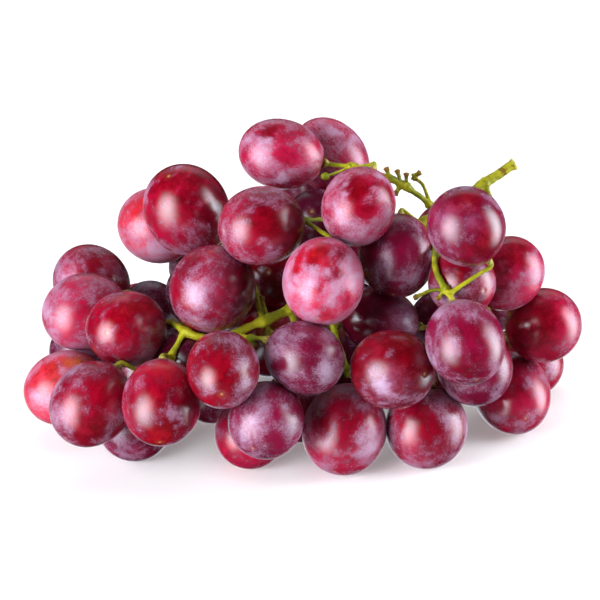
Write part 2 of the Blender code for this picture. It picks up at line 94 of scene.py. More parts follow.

# Patches that differ from the rest of a berry's skin. Most are pigment; the near-black ones are
# painted shade, laid on the rims where a berry meets its neighbours. Each lies so far to the right
# of the middle and so far up the front side, in berry radii; then come its reach, its colour, how
# strongly it shows, and how much bloom it adds or takes away.
PATCHES = {
    "berry_01": (
        (-0.25, 0.50, 0.28, RED, 0.8, -0.6), (0.15, -0.15, 0.25, RED, 0.5, -0.4),
        (0.10, -0.85, 0.35, PAINTED_SHADE, 0.6, -0.5)),
    "berry_03": (
        (-0.35, 0.62, 0.45, RED, 0.8, -0.7), (0.10, 0.35, 0.45, RED, 0.5, -0.5),
        (0.75, 0.00, 0.55, PAINTED_SHADE, 0.8, -0.5)),
    "berry_04": ((-0.30, 0.50, 0.50, SCARLET, 0.4, -0.3),),
    "berry_05": (
        (0.15, -0.05, 0.30, RED, 0.7, -0.7), (0.30, 0.10, 0.35, RED, 0.5, -0.5),
        (0.80, 0.10, 0.45, PAINTED_SHADE, 0.7, -0.5)),
    "berry_06": (
        (-0.05, 0.38, 0.40, RED, 1.0, -1.0), (0.20, -0.10, 0.20, RED, 0.6, -0.5),
        (0.75, 0.35, 0.25, RED, 0.8, -0.6)),
    "berry_07": (
        (-0.28, 0.66, 0.27, SCARLET, 1.0, -1.1), (0.42, 0.66, 0.24, RED, 0.8, -0.9),
        (0.32, 0.20, 0.19, RED, 0.8, -0.8), (0.08, 0.42, 0.14, SCARLET, 0.7, -0.6),
        (-0.66, 0.30, 0.17, SCARLET, 0.7, -0.7), (0.05, -0.72, 0.22, SCARLET, 0.6, -0.5),
        (0.60, -0.35, 0.20, RED, 0.6, -0.6), (-0.10, -0.12, 0.13, SCARLET, 0.5, -0.5)),
    "berry_09": (
        (-0.05, 0.62, 0.42, RED, 0.9, -0.8), (0.35, -0.50, 0.52, RED, 0.8, -0.7),
        (-0.55, 0.15, 0.35, LILAC, 0.3, 0.3), (0.05, 0.10, 0.25, LILAC, 0.3, 0.2)),
    "berry_10": ((0.75, 0.15, 0.60, PAINTED_SHADE, 0.8, -0.5), (-0.10, 0.05, 0.35, LILAC, 0.2, 0.2)),
    "berry_11": ((0.10, 0.20, 0.50, RED, 0.6, -0.5),),
    "berry_12": ((0.30, 0.10, 0.35, RED, 0.4, -0.3),),
    "berry_13": ((-0.10, 0.30, 0.55, CRIMSON, 0.8, -0.7), (0.55, 0.55, 0.40, SCARLET, 0.5, -0.4)),
    "berry_17": ((0.50, 0.62, 0.40, AMBER, 0.8, -0.4), (-0.35, 0.55, 0.35, SCARLET, 0.6, -0.5)),
    "berry_19": ((0.30, 0.30, 0.35, CRIMSON, 0.7, -0.5), (0.10, -0.50, 0.40, RED, 0.5, -0.4)),
    "berry_20": (
        (0.25, 0.82, 0.40, SCARLET, 0.7, -0.5), (-0.05, 0.20, 0.40, CRIMSON, 0.5, -0.4),
        (0.00, -0.70, 0.40, SCARLET, 0.5, -0.6), (0.75, 0.05, 0.40, PAINTED_SHADE, 0.7, -0.3)),
    "berry_22": ((-0.10, 0.00, 0.35, RED, 0.6, -0.5),),
    "berry_24": (
        (0.35, 0.40, 0.75, RED, 0.7, -0.8), (-0.85, -0.10, 0.30, RED, 0.9, -0.9),
        (-0.25, -0.35, 0.45, LILAC, 0.4, 0.5)),
    "berry_25": ((0.10, 0.30, 0.40, RED, 0.4, -0.5), (-0.05, -0.60, 0.35, RED, 0.4, -0.5)),
    "berry_27": ((-0.30, -0.10, 0.60, SCARLET, 0.5, -0.3),),
    "berry_28": ((0.00, 0.30, 0.50, RED, 0.4, -0.4),),
    "berry_29": ((-0.20, 0.20, 0.35, RED, 0.4, -0.4),),
    "berry_30": ((-0.45, 0.20, 0.55, RED, 0.5, -0.5),),
    "berry_31": ((-0.30, 0.30, 0.65, CRIMSON, 0.8, -0.7), (-0.70, -0.40, 0.50, PAINTED_SHADE, 0.6, -0.5)),
    "berry_32": ((-0.55, -0.10, 0.50, PAINTED_SHADE, 0.5, -0.6), (0.10, 0.50, 0.45, CRIMSON, 0.8, -0.5)),
    "berry_33": ((-0.15, 0.20, 0.30, RED, 0.7, -0.5),),
    "berry_36": ((-0.60, -0.10, 0.60, PAINTED_SHADE, 0.7, -0.2), (0.65, 0.20, 0.45, LILAC, 0.5, 0.3)),
}
FRONT_LEAN = 25.0        # degrees that the front side leans back
PATCH_EDGE = 2.1         # power by which a patch fades; a higher one has a sharper edge

# Berry ends, in millimetres: how wide the dip round the stalk is; height, place and width of
# the shoulder round it; depth and width of the blossom pit; and its rim like the shoulder.
STALK_DIP_WIDTH = 2.4
SHOULDER = (0.25, 4.0, 1.5)
BLOSSOM_PIT = (0.20, 0.6)
BLOSSOM_RIM = (0.04, 1.2, 0.45)
BLOSSOM_SCAR = (0.50, 0.08, 1.1, 0.35)   # reach of the scar; strength, place and width of its ring
STALK_STAIN = (3.2, 0.75, 0.6)           # reach of the olive stain, its strength, bloom it takes

FLAT_LIMIT = 0.05        # corners lower than this, in mm, lie on the flat that a berry rests on

# Where berries press, in millimetres: how softly the skin bends into a flat against another
# berry and against the table, how deep the far side of a berry counts, and how much two skins
# must face each other.
PRESS_ROUNDING = 0.16
TABLE_ROUNDING = 0.35
FAR_INSIDE = -8.0
LEAST_FACING = 0.6
FACING_LIMIT = 0.4

# Stem, in millimetres. The points count from the bunch's root, which stands here:
STEM_ROOT = (-0.865, 11.631, 0.0)
STEM_CLEARANCE = 0.4             # kept to every berry
TIP_GAP = 0.3                    # between a stalk's tip and its berry
MAIN_ROOM = 1.55
SHOOT_RADIUS = 0.9
STALK_RADIUS = 0.65
STUB_RADIUS = 0.55
NECK_LENGTH = 2.5                # straight part of a stalk, just before its berry
POINT_STEP = 2.0                 # while a route is eased
MAIN_STEP = 3.5
TUBE_STEP = 4.2
SEED_STEP = 3                    # from one shoot's bark to the next one's

# Easing a route clear of the berries: rounds, push, and smoothing early and late on.
EASE_ROUNDS = 160
EASE_PUSH = 0.6
EASE_EARLY = 0.3
EASE_LATE = 0.05
EASE_LATE_FROM = 0.8

# Choosing a stalk's way: a gap that will do, how many of the stem's nearest points to start
# from, every which of them, and how far the middle may go round.
ROOM_ENOUGH = 0.3
START_CHOICES = 60
START_STRIDE = 3
DETOURS = ((0, 0, 0), (6, 0, 0), (-6, 0, 0), (0, 6, 0), (0, -6, 0), (0, 0, 6), (0, 0, -6))

# Main stalk from its cut end to its far tip, with its radius at each point; side shoots from
# where they leave it; and dried stalks that lost their berries.
MAIN_STALK = (
    ((69, 14, 77), 1.75), ((64, 12, 74), 1.55), ((58, 8, 71), 1.5), ((52, 5, 67), 1.5),
    ((44, 3, 65), 1.6), ((38, 1, 63), 1.45), ((29, -4, 57), 1.4), ((19, -14, 51), 1.4),
    ((8, -23, 46), 1.35), ((-3, -29, 44), 1.35), ((-12, -31, 42), 1.3), ((-21, -38, 42), 1.25),
    ((-29, -41, 42), 1.2), ((-36, -38, 40), 1.2), ((-41, -27, 38), 1.1), ((-45, -17, 34), 1.0),
    ((-52, -9, 33), 1.0), ((-57, -3, 30), 0.9),
)
SHOOTS = (
    ((44, 3, 65), (44, 3, 70), (41, 4, 74), (37, 4, 77), (32, 2, 80), (26, 1, 82), (16, -1, 82)),
    ((38, 1, 63), (39, -12, 66), (40, -26, 67), (43, -36, 66), (46, -44, 62), (44, -44, 59)),
    ((19, -14, 51), (16, -10, 60), (10, -8, 67)),
    ((-12, -31, 42), (-12, -20, 48), (-18, -4, 53), (-21, 12, 50), (-24, 22, 46)),
    ((19, -14, 51), (15, -2, 46), (14, 10, 42), (12, 24, 42)),
    ((44, 3, 65), (44, 6, 56), (43, 14, 40), (46, 12, 28)),
    ((52, 5, 67), (58, -2, 60), (60, -6, 44), (61, -8, 30)),
    ((-3, -29, 44), (0, -33, 34), (3, -36, 25)),
    ((8, -23, 46), (9, -31, 39), (13, -36, 36), (15, -41, 29)),
    ((-36, -38, 40), (-40, -44, 32), (-43, -46, 27)),
    ((-24, -39, 42), (-18, -44, 45), (-15, -47, 44)),
    ((60, 9, 72), (61.5, 8, 68.5), (62, 9, 65)),
)
STUBS = (
    ((42.5, 4, 69.5), (39.5, 5, 73.2), (36, 5, 76)),
    ((36, 5, 76), (38.3, 5, 77.6)),
    ((35, 3, 74.5), (33.8, 2, 78.4)),
    ((32, 2.5, 76), (30.8, 1, 79.8)),
    ((29, 1.5, 77), (27.2, 0, 80.8)),
    ((33, 3, 74.5), (30.2, 1, 71.5)),
    ((44, -44, 59), (41.5, -44.5, 56)),
    ((44, -44, 59), (40, -40, 57), (35.5, -34.5, 52)),
    ((-15, -47, 44), (-13.5, -48.5, 42)),
    ((-9, -30.5, 43), (-12, -22, 46)),
)

# The berry that never grew, and the thread it hangs on.
SHOT_BERRY_AT = (8, -2, 79)
SHOT_BERRY_RADIUS = 1.25
SHOT_BERRY_LENGTH = 1.12         # times its radius, from its middle to each end
SHOT_BERRY_STALK = ((16, -1, 81), (12, -2, 80.5), (8, -2, 79))
THREAD_RADIUS = 0.38

# Each kind of shoot: how much wider it is where others leave it, how far its swollen tip reaches
# back, and how much wider that tip is, all in mm. A stalk's tip takes its width from a setting.
SWELLINGS = {
    "main": (0.50, 2.0, 0.35), "shoot": (0.50, 1.0, 0.0), "stalk": (0.20, 1.5, None),
    "stub": (0.08, 1.1, 0.40), "thread": (0.08, 1.0, 0.0),
}
BASE_REACH = 1.3
KNOT_REACH = 1.7
WARTY_REACH = 2.0
CUT_END_PALE = 0.5               # how far the pale cut end reaches
CUT_END_DRY = (0.25, 0.9, 0.6)   # strength, place and width of the dried ring behind it
NODE_DRY = (0.75, 4.8, 0.8)      # the same for the scar where a leaf or tendril was

# Stage, in metres.
LAMP_COLOUR = (0.93, 0.96, 1.0)
GLOSS_COLOUR = (0.80, 0.91, 1.0)
BUNCH_MIDDLE = (0.0, 0.0, 0.04)
ROUND_SIDES = 96
FLOOR_FADE = (0.5, 1.5)              # from here to there the floor's own glow rises
FLOOR_FAR_GLOW = (0.8, 0.8, 0.8)
BACKDROP_SHARE = 0.98                # of the floor's reach
BACKDROP_HEIGHTS = (-0.01, 4.0)
SKY_FRONT, SKY_BACK, SKY_BELOW = 0.22, 0.50, 0.24


# Shader building -----------------------------------------------------------------------
class Wire:
    """One output of a shader node that can stand in Python arithmetic."""

    def __init__(self, shader, output):
        self.shader = shader
        self.output = output

    def __add__(self, other):
        return self.shader.maths("ADD", self, other)

    def __radd__(self, other):
        return self.shader.maths("ADD", other, self)

    def __sub__(self, other):
        return self.shader.maths("SUBTRACT", self, other)

    def __rsub__(self, other):
        return self.shader.maths("SUBTRACT", other, self)

    def __mul__(self, other):
        return self.shader.maths("MULTIPLY", self, other)

    def __rmul__(self, other):
        return self.shader.maths("MULTIPLY", other, self)

    def __truediv__(self, other):
        return self.shader.maths("DIVIDE", self, other)

    def __rtruediv__(self, other):
        return self.shader.maths("DIVIDE", other, self)


class Shader:
    """The node tree of one material or world."""

    def __init__(self, owner):
        owner.use_nodes = True
        self.tree = owner.node_tree
        self.tree.nodes.clear()

    def node(self, kind, settings=None, values=None):
        """Add a node, set its settings first, then fill or link its sockets."""
        made = self.tree.nodes.new(kind)
        for name, value in (settings or {}).items():
            setattr(made, name, value)
        for key, value in (values or {}).items():
            socket = made.inputs[key]
            if isinstance(value, Wire):
                self.tree.links.new(value.output, socket)
            else:
                socket.default_value = value
        return made

    def wire(self, kind, settings=None, values=None, output=0):
        """Add a node and return one of its outputs."""
        return Wire(self, self.node(kind, settings, values).outputs[output])

    def maths(self, operation, *values):
        """One Math node."""
        return self.wire("ShaderNodeMath", {"operation": operation}, dict(enumerate(values)))

    def step(self, value, low, high):
        """0 below low, 1 above high, and a smooth rise between."""
        return self.wire(
            "ShaderNodeMapRange", {"interpolation_type": "SMOOTHSTEP"},
            {"Value": value, "From Min": low, "From Max": high})

    def mix(self, share, first, second, blend="MIX"):
        """A colour between the first and the second."""
        colours = {6: opaque(first), 7: opaque(second)}
        return self.wire(
            "ShaderNodeMix", {"data_type": "RGBA", "blend_type": blend, "clamp_factor": True},
            {0: share, **colours}, output=2)

    def noise(self, place, scale, detail=2.0, roughness=0.5, distortion=0.0):
        """Cloudy noise from 0 to 1."""
        return self.wire(
            "ShaderNodeTexNoise", {},
            {"Vector": place, "Scale": scale, "Detail": detail, "Roughness": roughness,
             "Distortion": distortion})

    def dots(self, place, scale):
        """Distance to the nearest of many scattered points."""
        return self.wire("ShaderNodeTexVoronoi", {}, {"Vector": place, "Scale": scale})

    def attribute(self, name, output):
        """One of the piece's own attributes."""
        return self.wire(
            "ShaderNodeAttribute", {"attribute_name": name}, output=output)


def opaque(colour):
    """The colour with an alpha of 1, or the wire as it is."""
    return colour if isinstance(colour, Wire) else (*colour[:3], 1.0)


def new_surface(name):
    """A fresh material with an empty tree, and its shader builder."""
    material = bpy.data.materials.new(name)
    return material, Shader(material)


def finish_surface(shader, values):
    """End the tree in one Principled shader with these sockets."""
    skin = shader.node("ShaderNodeBsdfPrincipled", {}, values)
    shader.node("ShaderNodeOutputMaterial", {}, {"Surface": Wire(shader, skin.outputs[0])})


def finish_glow(material, shader, colour, strength):
    """End the tree in a plain glow that isn't searched for as a lamp."""
    glow = shader.node("ShaderNodeEmission", {}, {"Color": opaque(colour), "Strength": strength})
    shader.node("ShaderNodeOutputMaterial", {}, {"Surface": Wire(shader, glow.outputs[0])})
    material.cycles.emission_sampling = "NONE"


def bumped(shader, height, distance, strength=1.0):
    """The normal of a surface whose height changes by this much."""
    return shader.wire(
        "ShaderNodeBump", {}, {"Height": height, "Distance": distance, "Strength": strength})


def grape_skin(slot_name, sizes):
    """Grape skin: deep mottled colour below, with some painted shade in it, and a dusty bloom
    that is rubbed away in places.

    The scales of its patterns count per millimetre.
    """
    material, shader = new_surface(slot_name)
    place = shader.attribute("skin_place", 1)
    tint = shader.attribute("skin_tint_and_shade", 0)
    bloom = shader.attribute("skin_bloom", 2)
    scar = shader.attribute("skin_scar", 2)

    lengthways = shader.wire(
        "ShaderNodeVectorMath", {"operation": "MULTIPLY"}, {0: place, 1: (1.0, 1.0, 0.35)})
    cloud = shader.noise(place, 0.15, 5.0, 0.60, 0.4)
    streak = shader.noise(lengthways, 0.75, 4.0, 0.60, 0.6)
    fleck = shader.noise(place, 2.0, 4.0, 0.66)
    grain = shader.noise(place, 8.0, 2.0, 0.6)
    pores = 1 - shader.step(shader.dots(place, 0.62), 0.05, 0.13)
    hairs = 1 - shader.step(
        shader.maths("ABSOLUTE", shader.noise(place, 0.42, 3.0, 0.6, 2.2) - 0.5), 0.0, 0.014)

    thick = bloom + (cloud - 0.5) * 1.8 + (streak - 0.5) * 0.7 + (fleck - 0.5) * 0.9
    cover = shader.step(thick + (grain - 0.5) * 0.35, 0.31, 1.36)
    dust = cover + hairs * shader.step(thick, 0.25, 0.80) * 0.06

    depth = shader.step(cloud * 0.4 + streak * 0.3 + fleck * 0.3, 0.42, 0.56)
    flesh = shader.mix(depth * 0.85, tint, (0.48, 0.20, 0.34), "MULTIPLY")
    flesh = shader.mix(pores * 0.10, flesh, (0.55, 0.22, 0.18))
    flesh = shader.mix(scar, flesh, sizes.scar_colour)
    dusting = shader.mix(cover, sizes.thin_bloom, sizes.bloom_colour)
    colour = shader.mix(dust * sizes.bloom_strength, flesh, dusting)

    height = streak * 0.25 + fleck * 0.30 + grain * 0.12 + pores * 0.30 + dust * 0.25
    finish_surface(shader, {
        "Base Color": colour,
        "Roughness": 0.20 + cover * 0.20 + grain * 0.03,
        "IOR": 1.47,
        "Subsurface Weight": sizes.glow,
        "Subsurface Radius": (1.0, 0.22, 0.14),
        "Subsurface Scale": sizes.glow_depth,
        "Coat Weight": (1 - cover) * 0.05,
        "Coat Roughness": 0.12,
        "Normal": bumped(shader, height, 0.00010, 0.55),
    })
    return material


def stem_skin(sizes):
    """Fresh stem: green, streaked along its length, with brown scars and dry tips."""
    material, shader = new_surface("stem_green")
    place = shader.wire("ShaderNodeTexCoord", {}, output=3)
    metre = shader.wire(
        "ShaderNodeVectorMath", {"operation": "SCALE"}, {0: place, "Scale": 1 / MM})
    along = shader.attribute("stem_place", 1)
    dry = shader.attribute("stem_dry", 2)
    pale = shader.attribute("stem_pale", 2)

    cloud = shader.noise(metre, 0.16, 3.0, 0.6)
    streak = shader.noise(along, 1.3, 3.0, 0.6)
    fleck = shader.noise(metre, 1.1, 4.0, 0.7)
    grain = shader.noise(metre, 5.0, 2.0, 0.6)

    green = shader.mix(shader.step(cloud, 0.36, 0.62), sizes.green, sizes.yellow_green)
    green = shader.mix(shader.step(streak, 0.42, 0.66) * 0.5, green, sizes.olive)
    green = shader.mix(pale, green, sizes.pale_wood)
    scars = shader.step(fleck * 0.65 + streak * 0.15 + grain * 0.20 + dry * 0.30, 0.54, 0.64)
    colour = shader.mix(scars * 0.85, green, sizes.brown)
    colour = shader.mix(shader.step(dry + (fleck - 0.5) * 0.9, 0.45, 0.95), colour, sizes.dry_brown)

    height = streak * 0.55 + fleck * 0.35 + grain * 0.15 + scars * 0.35
    finish_surface(shader, {
        "Base Color": colour,
        "Roughness": 0.46 + scars * 0.25 + dry * 0.15,
        "IOR": 1.36,
        "Subsurface Weight": 0.06,
        "Subsurface Radius": (0.6, 0.8, 0.2),
        "Subsurface Scale": 0.0012,
        "Normal": bumped(shader, height, 0.00025, 0.8),
    })
    return material


# Surfaces ------------------------------------------------------------------------------
def closed_tube(rings, first, last, start):
    """Vertices and faces of rings closed by one point at each end, counted on from start.

    The rings are a grid of rows by sides; each quad joins two rows and two neighbouring sides.
    """
    rows, sides = rings.shape[:2]
    points = np.vstack([rings.reshape(-1, 3), first, last])
    row, side = np.meshgrid(np.arange(rows - 1), np.arange(sides), indexing="ij")
    here = (row * sides + side).ravel()
    beside = (row * sides + (side + 1) % sides).ravel()
    quads = np.stack([here, beside, beside + sides, here + sides], axis=1) + start
    turn = np.arange(sides)
    ahead = (turn + 1) % sides
    first_at = np.full(sides, rows * sides)
    base = (rows - 1) * sides
    caps = np.vstack([
        np.stack([first_at, ahead, turn], axis=1),
        np.stack([first_at + 1, base + turn, base + ahead], axis=1)]) + start
    return points, quads, caps


def add_piece(name, parts, attributes, material, nodes):
    """Turn closed surfaces into one smooth mesh piece, in metres, that stands for CAD nodes.

    Its attributes are arrays with one number, vector or colour for each vertex.
    """
    points = np.vstack([part[0] for part in parts])
    faces = [face for part in parts for group in part[1:] for face in group.tolist()]
    mesh = bpy.data.meshes.new(name)
    mesh.from_pydata(points * MM, [], faces)
    for key, values in attributes.items():
        kind, field = {1: ("FLOAT", "value"), 3: ("FLOAT_VECTOR", "vector"),
                       4: ("FLOAT_COLOR", "color")}[values.shape[1] if values.ndim > 1 else 1]
        layer = mesh.attributes.new(key, kind, "POINT")
        layer.data.foreach_set(field, values.astype(np.float32).ravel())
    mesh.shade_smooth()
    mesh.materials.append(material)
    piece = bpy.data.objects.new(name, mesh)
    bpy.context.scene.collection.objects.link(piece)
    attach(piece, "root")
    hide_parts(*nodes)


def waves(places, seed, count=7, pitch=1.0):
    """A smooth random field, about -1 to 1: a sum of sine waves that run in random directions."""
    chance = np.random.default_rng(seed)
    ways = chance.normal(size=(count, 3)) * pitch
    phase = chance.uniform(0, TAU, count)
    return np.sin(places @ ways.T + phase).sum(axis=-1) / math.sqrt(count) * 0.9


def rise(value, low, high):
    """Smooth step: 3 s squared less 2 s cubed, where s runs from 0 at low to 1 at high."""
    share = np.clip((value - low) / (high - low), 0, 1)
    return share * share * (3 - 2 * share)


def softly_positive(value, softness):
    """The value where it is positive, 0 where it is negative, and a rounded bend between."""
    return (value + np.sqrt(value ** 2 + softness ** 2)) / 2


def bell(value, width):
    """A bell curve: e to the minus square of the value over the width."""
    return np.exp(-(value / width) ** 2)


def blended(first, second, share):
    """Colours part of the way from the first to the second."""
    return first + (np.asarray(second) - first) * share[:, None]


# Berries -------------------------------------------------------------------------------
class Berries:
    """The ellipsoids that the solid berries are cut from, found back from their corners, in mm."""

    def __init__(self, nodes, stem_points, swell=1.0):
        self.names = sorted(nodes)
        found = [self.ellipsoid(corners(frame["nodes"][name])) for name in self.names]
        self.centre = np.array([row[0] for row in found])
        self.axis = np.array([row[1] for row in found])
        self.across = np.array([row[2] for row in found]) * swell
        self.along = np.array([row[3] for row in found]) * swell
        reach = self.axis * self.along[:, None]
        near = np.array([
            [np.linalg.norm(stem_points - tip, axis=1).min() for tip in self.centre + side * reach]
            for side in (-1, 1)])
        self.axis[near[0] > near[1]] *= -1

    @staticmethod
    def ellipsoid(points):
        """Centre, long axis, radius across it and radius along it, by least squares.

        The equation x'Ax + b'x = 1 is solved for the six terms of A and the three of b. The
        centre is where its slope is zero. Each radius is 1 over the root of an eigenvalue of A,
        and the smallest eigenvalue belongs to the long axis.
        """
        points = points[points[:, 2] > FLAT_LIMIT]
        middle = points.mean(axis=0)
        x, y, z = (points - middle).T
        terms = np.stack([x * x, y * y, z * z, 2 * x * y, 2 * x * z, 2 * y * z, x, y, z], axis=1)
        k = np.linalg.lstsq(terms, np.ones(len(x)), rcond=None)[0]
        form = np.array([[k[0], k[3], k[4]], [k[3], k[1], k[5]], [k[4], k[5], k[2]]])
        centre = -np.linalg.solve(form, k[6:]) / 2
        size, ways = np.linalg.eigh(form / (1 + centre @ form @ centre))
        radii = 1 / np.sqrt(size)
        return middle + centre, ways[:, 0], (radii[1] + radii[2]) / 2, radii[0]

    def distance(self, points):
        """Distance from each point to each berry's skin, and the way out of it."""
        arm = points[:, None] - self.centre[None]
        along = np.einsum("pbk,bk->pb", arm, self.axis)[..., None] * self.axis[None]
        slope = ((arm - along) / self.across[None, :, None] ** 2
                 + along / self.along[None, :, None] ** 2)
        level = np.sqrt(np.maximum((arm * slope).sum(axis=2), 1e-9))
        steep = np.linalg.norm(slope, axis=2)
        out = slope / steep[..., None]
        return (level - 1) * level / steep, out

    def stalk_end(self, index, beyond):
        """The point this far beyond the berry's stem end, on its axis."""
        return self.centre[index] - self.axis[index] * (self.along[index] + beyond)

    def neighbours(self, index):
        """The other berries that lie near enough to touch this one."""
        apart = np.linalg.norm(self.centre - self.centre[index], axis=1)
        near = apart < self.along + self.along[index] + 1.0
        near[index] = False
        return np.flatnonzero(near)


def corners(node):
    """Corner points of a CAD node, in mm."""
    flat = np.zeros(len(node.data.vertices) * 3)
    node.data.vertices.foreach_get("co", flat)
    return flat.reshape(-1, 3) / MM


def berry_surface(berries, index, sizes):
    """Points of one berry's skin, and the same points on a unit ball in the berry's own frame.

    With t from the stem end to the blossom end and s round the axis, a point is
    across * sin(t)^fullness * (cos s, sin s) and -along * cos(t), a little uneven by three
    slow waves, dimpled like a bell curve at the stem end and at the blossom scar.
    """
    sides, rows = sizes.sides, sizes.rows
    chance = np.random.default_rng(1000 + index)
    t = np.linspace(0, math.pi, rows + 1)
    s = np.arange(sides) / sides * TAU
    t, s = np.meshgrid(t, s, indexing="ij")
    ball = np.stack([np.sin(t) * np.cos(s), np.sin(t) * np.sin(s), -np.cos(t)], axis=2)
    phase = chance.uniform(0, TAU, 3)
    uneven = 1 + sizes.unevenness * (
        np.sin(2 * s + phase[0]) * np.sin(t) + 0.7 * np.sin(3 * s + phase[1]) * np.sin(t) ** 2
        + 0.8 * np.sin(2 * t + phase[2]) * np.sin(t))
    across, along = berries.across[index], berries.along[index]
    wide = across * np.sin(t) ** sizes.fullness * uneven
    tall = -along * np.cos(t) * (1 + 0.5 * (uneven - 1))
    shoulder, shoulder_at, shoulder_width = SHOULDER
    pit, pit_width = BLOSSOM_PIT
    rim, rim_at, rim_width = BLOSSOM_RIM
    at_stalk = sizes.dimple * bell(wide, STALK_DIP_WIDTH)
    at_stalk = at_stalk - shoulder * bell(wide - shoulder_at, shoulder_width)
    at_blossom = pit * bell(wide, pit_width) - rim * bell(wide - rim_at, rim_width)
    tall += np.where(t < math.pi / 2, at_stalk, -at_blossom)
    turn = np.array(Vector(berries.axis[index]).to_track_quat("Z", "Y").to_matrix())
    own = np.stack([wide * np.cos(s), wide * np.sin(s), tall], axis=2)
    return berries.centre[index] + own @ turn.T, own, ball, turn


def pressed(points, berries, index, sizes):
    """Points moved in where the berry would press into a neighbour or the surface below.

    Each point goes inwards by its depth in the neighbour over 1 less the cosine between the
    two skins' ways out, so that both skins meet half way; the bend into the flat is rounded.
    """
    near = berries.neighbours(index)
    gap, out = berries.distance(points)
    own_out = out[:, index]
    gap, out = gap[:, near], out[:, near]
    facing = np.einsum("pk,pbk->pb", own_out, out)
    depth = (sizes.hairline - gap) / np.maximum(1 - facing, LEAST_FACING)
    inwards = softly_positive(depth, PRESS_ROUNDING) - softly_positive(FAR_INSIDE, PRESS_ROUNDING)
    inwards = np.where(facing < FACING_LIMIT, inwards, 0).max(axis=1, initial=0.0)
    points = points - own_out * inwards[:, None]
    points[:, 2] = softly_positive(points[:, 2] - 0.02, TABLE_ROUNDING) + 0.01
    return points


def skin_paint(berries, index, unit, sizes):
    """Deep colour, painted shade and bloom of each point of one berry's skin.

    Two colours mix by slow waves, and other waves thin and thicken the bloom. Then each patch
    fades in by e to the minus power of the angle from its middle over its ragged reach.
    """
    skin, bloom_level = RIPENESS[index]
    light, dark = (np.array(colour) for colour in SKINS[skin])
    slow, quick = waves(unit, 40 + index, pitch=1.7), waves(unit, 140 + index, pitch=4.5)
    tint = blended(light, dark, rise(slow * 0.7 + quick * 0.3, -0.7, 0.7))
    slow, quick = waves(unit, 240 + index, pitch=2.3), waves(unit, 340 + index, pitch=6.0)
    bloom = bloom_level + 0.16 * slow + 0.12 * quick
    ragged = (1 + 0.38 * waves(unit, 440 + index, pitch=7.0)
              + 0.24 * waves(unit, 540 + index, pitch=17.0)).clip(0.2)
    lean = math.radians(FRONT_LEAN)
    upright = np.array([0, math.sin(lean), math.cos(lean)])
    outwards = np.array([0, -math.cos(lean), math.sin(lean)])
    # Pigment patches, and near-black patches of painted shade where the berry meets its neighbours.
    for right, up, reach, colour, strength, dusting in PATCHES.get(berries.names[index], ()):
        out = math.sqrt(max(0.0, 1 - right ** 2 - up ** 2))
        middle = np.array([right, 0, 0]) + up * upright + out * outwards
        middle /= np.linalg.norm(middle)
        far = np.arccos(np.clip(unit @ middle, -1, 1)) / (reach * ragged)
        shows = np.exp(-far ** PATCH_EDGE)
        tint = blended(tint, colour, shows * strength)
        bloom = bloom + dusting * shows
    return tint, bloom


def add_berry(berries, index, sizes, material):
    """One berry, with its skin's colours, painted shade, bloom and scars kept as attributes."""
    grid, own, ball, turn = berry_surface(berries, index, sizes)
    rows, sides = grid.shape[:2]
    place = own + np.random.default_rng(2000 + index).uniform(-400, 400, 3)
    rings = pressed(grid.reshape(-1, 3), berries, index, sizes).reshape(rows, sides, 3)
    part = closed_tube(rings[1:-1], rings[0, :1], rings[-1, :1], 0)

    def kept(values):
        """One value for each vertex, in the order of the part's own points."""
        width = values.shape[2]
        return np.vstack([values[1:-1].reshape(-1, width), values[0, :1], values[-1, :1]])

    unit = kept(ball) @ turn.T
    tint, bloom = skin_paint(berries, index, unit, sizes)
    height = kept(own)[:, 2]
    reach = np.linalg.norm(kept(own)[:, :2], axis=1)
    stain_reach, stain, bare = STALK_STAIN
    at_stem = (height < 0) * bell(reach, stain_reach)
    tint = blended(tint, np.array(OLIVE), at_stem * stain)
    bloom = bloom - bare * at_stem
    scar_reach, ring, ring_at, ring_width = BLOSSOM_SCAR
    scar = np.exp(-(reach / scar_reach) ** 4) + ring * bell(reach - ring_at, ring_width)
    scar = (height > 0) * scar
    add_piece(
        name=berries.names[index].replace("berry", "grape"), parts=[part],
        attributes={
            "skin_place": kept(place), "skin_bloom": bloom, "skin_scar": np.clip(scar, 0, 1),
            "skin_tint_and_shade": np.hstack([np.clip(tint, 0, 1), np.ones((len(tint), 1))])},
        material=material, nodes=[berries.names[index]])


# Stem ----------------------------------------------------------------------------------
def rooted(points):
    """Points counted from the bunch's root, as points of the frame."""
    return np.array(points, float) + STEM_ROOT


def spaced(points, step):
    """The same route with its points about one step apart, both ends kept."""
    points = np.array(points, float)
    travelled = travelled_along(points)
    count = max(2, int(round(travelled[-1] / step)) + 1)
    marks = np.linspace(0.0, travelled[-1], count)
    return np.stack([np.interp(marks, travelled, points[:, k]) for k in range(3)], axis=1)


def travelled_along(points):
    """Distance along the route to each of its points."""
    return np.concatenate([[0.0], np.cumsum(np.linalg.norm(np.diff(points, axis=0), axis=1))])


def eased(points, radius, berries, held=1):
    """A route pushed clear of the berries and smoothed, with its held end points kept."""
    route = spaced(points, POINT_STEP)
    if len(route) < 3:
        return route
    room = radius + STEM_CLEARANCE
    loose = slice(1, len(route) - held)
    for round_number in range(EASE_ROUNDS):
        gap, out = berries.distance(route)
        push = (np.maximum(0.0, room - gap)[..., None] * out).sum(axis=1)
        bend = np.zeros_like(route)
        bend[1:-1] = route[:-2] + route[2:] - 2 * route[1:-1]
        early = round_number < EASE_ROUNDS * EASE_LATE_FROM
        smoothing = EASE_EARLY if early else EASE_LATE
        route[loose] += EASE_PUSH * push[loose] + smoothing * bend[loose]
    return route


def clearance(route, radius, berries):
    """The smallest gap that a tube of this radius keeps to any berry."""
    fine = spaced(route, POINT_STEP / 2)
    return float(berries.distance(fine)[0].min()) - radius


